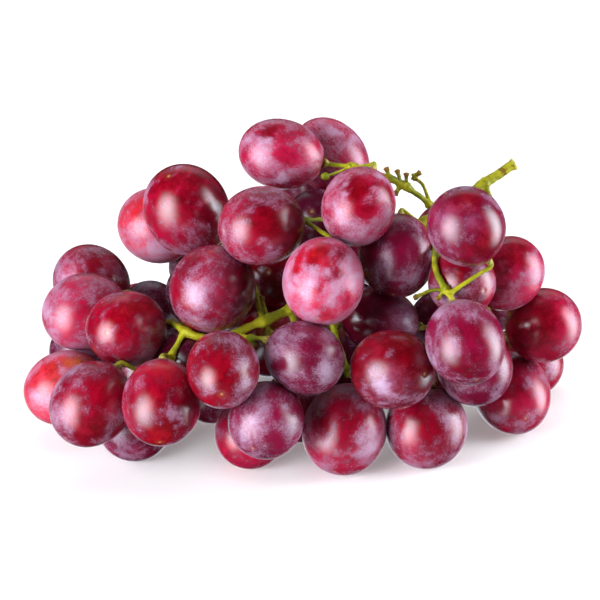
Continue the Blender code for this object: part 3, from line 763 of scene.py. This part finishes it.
class Stem:
    """Routes of the stem, grown one after another onto what is there already."""

    def __init__(self, berries):
        self.berries = berries
        self.points = np.zeros((0, 3))
        self.routes = []

    def add(self, kind, route, radii):
        """Keep a route with its kind and radii, and its points for later shoots."""
        self.routes.append((kind, np.array(route, float), np.array(radii, float)))
        self.points = np.vstack([self.points, spaced(route, POINT_STEP)[1:]])

    def nearest(self, point):
        """The stem's own point nearest to the one given."""
        return self.points[np.linalg.norm(self.points - np.array(point, float), axis=1).argmin()]

    def add_main_stalk(self):
        """The thick stalk from its cut end to its far tip."""
        points = rooted([row[0] for row in MAIN_STALK])
        radii = np.array([row[1] for row in MAIN_STALK])
        route = eased(points, MAIN_ROOM, self.berries)
        share = np.linspace(0, 1, len(route))
        widths = np.interp(share, np.linspace(0, 1, len(radii)), radii)
        tube = spaced(route, MAIN_STEP)
        widths = np.interp(np.linspace(0, 1, len(tube)), share, widths)
        self.points = tube[:1]
        self.add("main", tube, widths)

    def add_shoot(self, points):
        """A side shoot, from the nearest point of the stem along its own points."""
        points = rooted(points)
        route = eased([self.nearest(points[0]), *points[1:]], SHOOT_RADIUS, self.berries, held=0)
        tube = spaced(route, TUBE_STEP)
        self.add("shoot", tube, np.full(len(tube), SHOOT_RADIUS))

    def add_stalk(self, index):
        """A berry's stalk, by the shortest way that runs clear of every berry."""
        neck = self.berries.stalk_end(index, TIP_GAP + NECK_LENGTH)
        far = np.linalg.norm(self.points - neck, axis=1)
        best = None
        for choice in np.argsort(far)[:START_CHOICES:START_STRIDE]:
            for detour in DETOURS:
                middle = (self.points[choice] + neck) / 2 + np.array(detour, float)
                route = eased([self.points[choice], middle, neck], STALK_RADIUS, self.berries)
                room = clearance(route, STALK_RADIUS, self.berries)
                if best is None or room > best[0]:
                    best = (room, route)
                if room > ROOM_ENOUGH:
                    break
            if best[0] > ROOM_ENOUGH:
                break
        tip = self.berries.stalk_end(index, TIP_GAP)
        tube = np.vstack([spaced(best[1], TUBE_STEP), tip])
        self.add("stalk", tube, np.full(len(tube), STALK_RADIUS))

    def grow(self):
        """Main stalk and side shoots, then a stalk for each berry, nearest first, and stubs."""
        self.add_main_stalk()
        for points in SHOOTS:
            self.add_shoot(points)
        waiting = list(range(len(self.berries.names)))
        while waiting:
            ends = np.array([self.berries.stalk_end(i, TIP_GAP) for i in waiting])
            near = np.linalg.norm(ends[:, None] - self.points[None], axis=2).min(axis=1)
            self.add_stalk(waiting.pop(int(near.argmin())))
        for points in STUBS:
            points = rooted(points)
            tube = spaced([self.nearest(points[0]), *points[1:]], TUBE_STEP)
            self.add("stub", tube, np.full(len(tube), STUB_RADIUS))
        thread = rooted(SHOT_BERRY_STALK)
        thread[0] = self.nearest(thread[0])
        self.add("thread", thread, np.full(len(thread), THREAD_RADIUS))


def rounded_route(points, radii, step):
    """A route through the points with its corners rounded, by a Catmull-Rom curve.

    Between two points the curve is the cubic whose slope at each is half the way from the
    point before to the point after.
    """
    ends = np.vstack([2 * points[0] - points[1], points, 2 * points[-1] - points[-2]])
    travelled = travelled_along(points)
    marks = np.linspace(0, travelled[-1], max(6, int(travelled[-1] / step) + 1))
    run = np.clip(np.searchsorted(travelled, marks, side="right") - 1, 0, len(points) - 2)
    u = ((marks - travelled[run]) / (travelled[run + 1] - travelled[run]))[:, None]
    a, b, c, d = (ends[run + k] for k in range(4))
    curve = 0.5 * (2 * b + (c - a) * u + (2 * a - 5 * b + 4 * c - d) * u ** 2
                   + (3 * b - a - 3 * c + d) * u ** 3)
    return curve, np.interp(marks, travelled, radii), travelled_along(curve)


def ring_frames(curve):
    """Two ways square to the route at each of its points, from one way it hardly runs along."""
    way = np.gradient(curve, axis=0)
    way /= np.linalg.norm(way, axis=1)[:, None]
    least = np.abs(way).mean(axis=0).argmin()
    first = np.eye(3)[least] - way * way[:, [least]]
    first /= np.linalg.norm(first, axis=1)[:, None]
    return way, first, np.cross(way, first)


def tip_shade(kind, mark, to_end, at_tip):
    """How pale and how dry a shoot is at each ring, by bell curves at its ends and its scar."""
    if kind == "main":
        strength, at, width = CUT_END_DRY
        scar, scar_at, scar_width = NODE_DRY
        return bell(mark, CUT_END_PALE), (
            strength * bell(mark - at, width) + scar * bell(mark - scar_at, scar_width))
    if kind == "stalk":
        return 0.75 * at_tip, 0.35 * at_tip
    if kind == "stub":
        return 0.35 * at_tip, 0.15 + 0.60 * bell(to_end, 1.2)
    return np.zeros(len(mark)), np.zeros(len(mark))


def stem_tube(kind, points, radii, joints, start, sizes, seed):
    """One shoot as a tube whose profile is carried along its rounded route.

    Its radius is the shoot's own, wider by bell curves where it leaves the stem, where other
    shoots leave it and at its tip, ridged by slow waves round it, and warty near the tip.
    Returned with it are how pale and dry each vertex is, and its place along and round the shoot.
    """
    curve, radius, mark = rounded_route(points, radii, sizes.step)
    way, first, second = ring_frames(curve)
    to_end = mark[-1] - mark
    knot, tip_reach, tip_swell = SWELLINGS[kind]
    if kind != "main":
        radius = radius + sizes.base_flare * bell(mark, BASE_REACH)
    near = np.linalg.norm(curve[:, None] - joints[None], axis=2).min(axis=1)
    at_tip = bell(mark if kind == "main" else to_end, tip_reach)
    radius = radius + knot * bell(near, KNOT_REACH)
    radius = radius + (sizes.tip_swell if tip_swell is None else tip_swell) * at_tip

    turn = np.arange(sizes.stem_sides) / sizes.stem_sides * TAU
    ways = (first[:, None] * np.cos(turn)[None, :, None]
            + second[:, None] * np.sin(turn)[None, :, None])
    bark = curve[:, None] + ways * radius[:, None, None]
    lumps = waves(bark.reshape(-1, 3), seed, 9, 0.9).reshape(bark.shape[:2])
    warts = waves(bark.reshape(-1, 3), seed + 1, 12, 3.2).reshape(bark.shape[:2])
    ridge = np.cos(3 * turn[None] + mark[:, None] * 0.12 + seed)
    wart_height = (0.05 + 0.12 * at_tip + 0.09 * bell(near, WARTY_REACH))[:, None]
    wide = radius[:, None] * (1 + 0.05 * ridge + 0.10 * lumps) + wart_height * warts
    bark = curve[:, None] + ways * np.maximum(wide, 0.2)[..., None]
    first_point = curve[:1] + way[:1] * (0.25 if kind == "main" else 0.0)
    last_point = curve[-1:] + way[-1:] * (0.1 if kind == "stalk" else 0.35)
    part = closed_tube(bark, first_point, last_point, start)

    pale, dry = tip_shade(kind, mark, to_end, at_tip)
    per_ring = np.repeat(np.stack([pale, dry], axis=1), sizes.stem_sides, axis=0)
    ends = np.array([[1.0 if kind == "main" else pale[0], dry[0]], [pale[-1], dry[-1]]])
    along = np.stack([
        np.broadcast_to(mark[:, None] * 0.18, bark.shape[:2]),
        np.broadcast_to(np.cos(turn)[None], bark.shape[:2]),
        np.broadcast_to(np.sin(turn)[None], bark.shape[:2])], axis=2).reshape(-1, 3) + seed
    return part, np.vstack([per_ring, ends]), np.vstack([along, along[:1], along[-1:]])


def small_ball(centre, radius, start):
    """A ball, a little longer than wide, as a grid from pole to pole."""
    t, s = np.meshgrid(np.linspace(0, math.pi, 11), np.arange(14) / 14 * TAU, indexing="ij")
    shape = np.stack(
        [-np.cos(t) * SHOT_BERRY_LENGTH, np.sin(t) * np.cos(s), np.sin(t) * np.sin(s)], axis=2)
    grid = np.array(centre) + shape * radius
    return closed_tube(grid[1:-1], grid[0, :1], grid[-1, :1], start)


# Settings ------------------------------------------------------------------------------
def colour_setting(name, description, default):
    """A colour that can be picked in the panel."""
    return FloatVectorProperty(
        name=name, description=description, default=default, size=3, subtype="COLOR",
        min=0.0, max=1.0)


class GrapeBerrySettings(bpy.types.PropertyGroup):
    """Sizes and colours of the berries."""

    sides: IntProperty(name="Sides", description="Points round a berry", default=88, min=12)
    rows: IntProperty(name="Rows", description="Rows from end to end", default=60, min=8)
    swell: FloatProperty(
        name="Swell", description="Size next to the solid berry", default=1.010, min=0.9, max=1.1)
    fullness: FloatProperty(
        name="Fullness", description="Below 1 fills out the ends", default=0.96, min=0.5, max=1.5)
    unevenness: FloatProperty(
        name="Unevenness", description="Share of the radius that slow waves add", default=0.009)
    dimple: FloatProperty(
        name="Dimple", description="Depth at the stem end, in mm", default=0.7)
    hairline: FloatProperty(
        name="Hairline", description="Gap left where berries press, in mm", default=0.02)
    bloom_strength: FloatProperty(
        name="Bloom strength", description="How far full bloom hides the skin", default=0.60)
    bloom_colour: colour_setting("Bloom", "Dusty bloom where it lies thick", (0.53, 0.38, 0.54))
    thin_bloom: colour_setting("Thin bloom", "Dusty bloom where it lies thin", (0.43, 0.16, 0.33))
    scar_colour: colour_setting("Scar", "Blossom scar", (0.42, 0.20, 0.07))
    glow: FloatProperty(
        name="Glow", description="How much light the flesh lets through", default=0.22)
    glow_depth: FloatProperty(
        name="Glow depth", description="How far light runs in the flesh", default=0.0032,
        unit="LENGTH")


class GrapeStemSettings(bpy.types.PropertyGroup):
    """Sizes and colours of the stem."""

    step: FloatProperty(name="Step", description="Spacing of rings, in mm", default=0.45)
    stem_sides: IntProperty(name="Sides", description="Points round a shoot", default=14, min=6)
    base_flare: FloatProperty(
        name="Base flare", description="Wider by this at the base, in mm", default=0.50)
    tip_swell: FloatProperty(
        name="Tip swell", description="Wider by this at the berry, in mm", default=0.95)
    green: colour_setting("Green", "Fresh green", (0.13, 0.16, 0.004))
    yellow_green: colour_setting("Yellow green", "Lighter parts", (0.34, 0.33, 0.012))
    olive: colour_setting("Olive", "Streaks", (0.24, 0.19, 0.008))
    pale_wood: colour_setting("Pale wood", "Cut end and tips", (0.62, 0.53, 0.17))
    brown: colour_setting("Brown", "Scars", (0.11, 0.050, 0.008))
    dry_brown: colour_setting("Dry brown", "Dried tips", (0.19, 0.085, 0.014))


class GrapeStageSettings(bpy.types.PropertyGroup):
    """Floor, lights and camera."""

    floor_reach: FloatProperty(
        name="Floor", description="Radius of the floor", default=3.0, unit="LENGTH")
    floor_colour: colour_setting("Floor colour", "Floor", (0.80, 0.80, 0.80))
    floor_glow: FloatProperty(name="Floor glow", description="Light of its own", default=0.22)
    left_power: FloatProperty(
        name="Left softbox", description="Power", default=23.0, unit="POWER")
    right_power: FloatProperty(
        name="Right softbox", description="Power", default=16.0, unit="POWER")
    top_power: FloatProperty(name="Top light", description="Power", default=6.6, unit="POWER")
    left_gloss: FloatProperty(
        name="Left gloss", description="Glow of the left card", default=20.0)
    right_gloss: FloatProperty(
        name="Right gloss", description="Glow of the right card", default=17.0)
    back_gloss: FloatProperty(name="Back gloss", description="Glow of the back card", default=1.1)
    low_gloss: FloatProperty(
        name="Low gloss", description="Glow of the card that stands low behind", default=2.0)
    lens: FloatProperty(name="Lens", description="Focal length in mm", default=135.0)
    eye: FloatVectorProperty(
        name="Camera", description="Place of the camera", subtype="XYZ", unit="LENGTH", size=3,
        default=(-0.000865, -0.650469, 0.343700))
    target: FloatVectorProperty(
        name="Target", description="Point that the camera looks at", subtype="XYZ",
        unit="LENGTH", size=3, default=(-0.000865, 0.011631, 0.035))


# Operators -----------------------------------------------------------------------------
def berry_nodes():
    """Names of the CAD nodes that are berries."""
    return [name for name in frame["nodes"] if name.startswith("berry_")]


def slots_by_node():
    """The record's material slot of each node."""
    return {row["node"]: row["material_slot"] for row in frame["record"]["subparts"]}


class GRAPES_OT_add_berries(bpy.types.Operator):
    """Add every berry of the bunch with its skin"""

    bl_idname = "grapes.add_berries"
    bl_label = "Add berries"

    def execute(self, context):
        sizes = context.scene.grape_berries
        stem_points = corners(frame["nodes"]["stem"])
        berries = Berries(berry_nodes(), stem_points, sizes.swell)
        slots = slots_by_node()
        kinds = sorted({slots[name] for name in berries.names})
        skins = {kind: grape_skin(kind, sizes) for kind in kinds}
        for index, name in enumerate(berries.names):
            add_berry(berries, index, sizes, skins[slots[name]])
        return {"FINISHED"}


class GRAPES_OT_add_stem(bpy.types.Operator):
    """Add the stem with its side shoots, berry stalks and dried stubs"""

    bl_idname = "grapes.add_stem"
    bl_label = "Add stem"

    def execute(self, context):
        sizes = context.scene.grape_stem
        stem = Stem(Berries(berry_nodes(), corners(frame["nodes"]["stem"])))
        stem.grow()
        joints = np.array([route[0] for kind, route, _ in stem.routes if kind != "main"])
        parts, shades, places, start = [], [], [], 0
        for number, (kind, route, radii) in enumerate(stem.routes):
            part, shade, place = stem_tube(
                kind, route, radii, joints, start, sizes, number * SEED_STEP)
            start += len(part[0])
            parts.append(part)
            shades.append(shade)
            places.append(place)
        ball = small_ball(rooted(SHOT_BERRY_AT), SHOT_BERRY_RADIUS, start)
        parts.append(ball)
        shades.append(np.zeros((len(ball[0]), 2)))
        places.append(ball[0])
        shade = np.vstack(shades)
        add_piece(
            name="grape_stem", parts=parts,
            attributes={"stem_pale": shade[:, 0], "stem_dry": shade[:, 1],
                        "stem_place": np.vstack(places)},
            material=stem_skin(sizes), nodes=["stem"])
        return {"FINISHED"}


def add_softbox(name, azimuth, distance, height, size, power, aim=BUNCH_MIDDLE):
    """A rectangular light that stands this many degrees to the right of the front."""
    lamp = bpy.data.lights.new(name, "AREA")
    lamp.shape = "RECTANGLE"
    lamp.size, lamp.size_y = size
    lamp.energy = power
    lamp.color = LAMP_COLOUR
    light = bpy.data.objects.new(name, lamp)
    bpy.context.scene.collection.objects.link(light)
    turn = math.radians(azimuth)
    place = Vector((math.sin(turn) * distance, -math.cos(turn) * distance, height))
    light.location = place
    light.rotation_euler = (Vector(aim) - place).to_track_quat("-Z", "Y").to_euler()
    light.visible_camera = False
    light.visible_glossy = False


def add_stage_piece(name, points, faces, material, unseen_by, place=(0, 0, 0), turn=0.0):
    """One piece of the stage, turned and placed, that these kinds of light don't see."""
    mesh = bpy.data.meshes.new(name)
    mesh.from_pydata(points, [], faces)
    mesh.materials.append(material)
    piece = bpy.data.objects.new(name, mesh)
    bpy.context.scene.collection.objects.link(piece)
    piece.location = place
    piece.rotation_euler = (0, 0, turn)
    for kind in unseen_by:
        setattr(piece, "visible_" + kind, False)


def circle(radius, height):
    """Points of a level circle round the bunch."""
    turn = np.arange(ROUND_SIDES) / ROUND_SIDES * TAU
    return np.column_stack(
        [np.cos(turn) * radius, np.sin(turn) * radius, np.full(ROUND_SIDES, float(height))])


def add_floor(sizes):
    """A round pale floor; far from the bunch it glows, so that it stays white to its edge."""
    material, shader = new_surface("floor")
    place = shader.wire("ShaderNodeTexCoord", {}, output=3)
    out = shader.wire("ShaderNodeVectorMath", {"operation": "LENGTH"}, {0: place}, output=1)
    near = (sizes.floor_glow,) * 3
    finish_surface(shader, {
        "Base Color": opaque(sizes.floor_colour), "Roughness": 0.9, "Specular IOR Level": 0.2,
        "Emission Color": shader.mix(shader.step(out, *FLOOR_FADE), near, FLOOR_FAR_GLOW),
        "Emission Strength": 1.0})
    add_stage_piece(
        "floor", circle(sizes.floor_reach, 0), [list(range(ROUND_SIDES))], material, ("glossy",))


def add_backdrop(sizes):
    """A round white wall at the floor's edge that only the camera sees."""
    reach = sizes.floor_reach * BACKDROP_SHARE
    low, high = (circle(reach, height) for height in BACKDROP_HEIGHTS)
    here = np.arange(ROUND_SIDES)
    ahead = (here + 1) % ROUND_SIDES
    quads = np.stack([ahead, here, here + ROUND_SIDES, ahead + ROUND_SIDES], axis=1)
    material, shader = new_surface("backdrop")
    finish_glow(material, shader, (1.0, 1.0, 1.0), 1.0)
    add_stage_piece(
        "backdrop", np.vstack([low, high]), quads.tolist(), material,
        ("diffuse", "glossy", "transmission", "shadow"))


def add_card(name, azimuth, distance, heights, width, strength):
    """A glowing card that only gloss sees, so many degrees to the right of the front.

    It may reach below the floor, as its picture in a shiny table would. Its glow is 1 in the
    middle and falls by a smooth step to 0 at each edge.
    """
    low, high = heights
    side = width / 2
    material, shader = new_surface(name)
    place = shader.wire("ShaderNodeTexCoord", {}, output=3)
    apart = shader.node("ShaderNodeSeparateXYZ", {}, {0: place})
    sideways = shader.maths("ABSOLUTE", Wire(shader, apart.outputs[0]) / side)
    upwards = (Wire(shader, apart.outputs[2]) - (low + high) / 2) / ((high - low) / 2)
    upwards = shader.maths("ABSOLUTE", upwards)
    profile = shader.step(1 - sideways, 0.0, 1.0) * shader.step(1 - upwards, 0.0, 1.0)
    finish_glow(material, shader, GLOSS_COLOUR, profile * strength)
    turn = math.radians(azimuth)
    add_stage_piece(
        name, [(-side, 0, low), (side, 0, low), (side, 0, high), (-side, 0, high)],
        [(0, 1, 2, 3)], material, ("camera", "diffuse", "transmission", "shadow"),
        (math.sin(turn) * distance, -math.cos(turn) * distance, 0), turn)


def set_sky(scene):
    """A soft sky for all but gloss: brighter behind the bunch, and dimmer below the floor."""
    world = bpy.data.worlds.new("studio")
    scene.world = world
    sky = Shader(world)
    way = sky.wire("ShaderNodeTexCoord", {}, output=0)
    apart = sky.node("ShaderNodeSeparateXYZ", {}, {0: way})
    behind, above = Wire(sky, apart.outputs[1]), Wire(sky, apart.outputs[2])
    strength = SKY_FRONT + (SKY_BACK - SKY_FRONT) * sky.step(behind, -0.05, 0.75)
    strength = strength + (SKY_BELOW - strength) * (1 - sky.step(above, -0.10, 0.02))
    glow = sky.node(
        "ShaderNodeBackground", {}, {"Color": opaque((1.0, 1.0, 1.0)), "Strength": strength})
    sky.node("ShaderNodeOutputWorld", {}, {"Surface": Wire(sky, glow.outputs[0])})
    world.cycles_visibility.glossy = False


def set_camera(scene, sizes):
    """The camera at its place, looking at its target."""
    lens = bpy.data.cameras.new("camera")
    lens.lens = sizes.lens
    lens.clip_start = 0.01
    camera = bpy.data.objects.new("camera", lens)
    camera.location = sizes.eye
    aim = Vector(sizes.target) - Vector(sizes.eye)
    camera.rotation_euler = aim.to_track_quat("-Z", "Y").to_euler()
    scene.collection.objects.link(camera)
    scene.camera = camera


class GRAPES_OT_set_stage(bpy.types.Operator):
    """Add the pale floor, the soft lights, the surroundings and the camera"""

    bl_idname = "grapes.set_stage"
    bl_label = "Set stage"

    def execute(self, context):
        sizes = context.scene.grape_stage
        add_floor(sizes)
        add_backdrop(sizes)
        level = (0, 0, 0.38)
        add_softbox("left_softbox", -51, 0.95, 0.38, (0.78, 0.70), sizes.left_power, level)
        add_softbox("right_softbox", 88, 0.95, 0.38, (0.52, 0.70), sizes.right_power, level)
        add_card("left_card", -50, 0.95, (-0.80, 1.15), 1.35, sizes.left_gloss)
        add_card("right_card", 91, 0.95, (-0.80, 1.15), 1.05, sizes.right_gloss)
        add_card("back_card", 180, 1.50, (0.00, 2.40), 3.60, sizes.back_gloss)
        add_card("low_back_card", 180, 1.20, (-1.60, -0.20), 3.20, sizes.low_gloss)
        add_softbox("top_light", 170, 0.35, 1.3, (1.2, 0.9), sizes.top_power)
        set_sky(context.scene)
        set_camera(context.scene, sizes)
        context.scene.view_settings.view_transform = "Standard"
        return {"FINISHED"}


class GRAPES_PT_panel(bpy.types.Panel):
    """Buttons and settings of the bunch"""

    bl_idname = "GRAPES_PT_panel"
    bl_label = "Bunch of grapes"
    bl_space_type = "VIEW_3D"
    bl_region_type = "UI"
    bl_category = "Grapes"

    def draw(self, context):
        for operator, key in STEPS:
            box = self.layout.box()
            box.operator(operator.bl_idname)
            settings = getattr(context.scene, key)
            for name in settings.__annotations__:
                box.prop(settings, name)


STEPS = (
    (GRAPES_OT_add_berries, "grape_berries"),
    (GRAPES_OT_add_stem, "grape_stem"),
    (GRAPES_OT_set_stage, "grape_stage"),
)
CLASSES = (
    GrapeBerrySettings, GrapeStemSettings, GrapeStageSettings,
    GRAPES_OT_add_berries, GRAPES_OT_add_stem, GRAPES_OT_set_stage, GRAPES_PT_panel,
)


def register():
    """Register the classes and hang the settings on the scene."""
    for item in CLASSES:
        bpy.utils.register_class(item)
    bpy.types.Scene.grape_berries = PointerProperty(type=GrapeBerrySettings)
    bpy.types.Scene.grape_stem = PointerProperty(type=GrapeStemSettings)
    bpy.types.Scene.grape_stage = PointerProperty(type=GrapeStageSettings)


def unregister():
    """Take the settings and the classes away again."""
    for key in ("grape_berries", "grape_stem", "grape_stage"):
        delattr(bpy.types.Scene, key)
    for item in reversed(CLASSES):
        bpy.utils.unregister_class(item)


def main():
    """Build the bunch and its stage."""
    register()
    bpy.ops.grapes.add_berries()
    bpy.ops.grapes.add_stem()
    bpy.ops.grapes.set_stage()


if __name__ == "__main__":
    main()
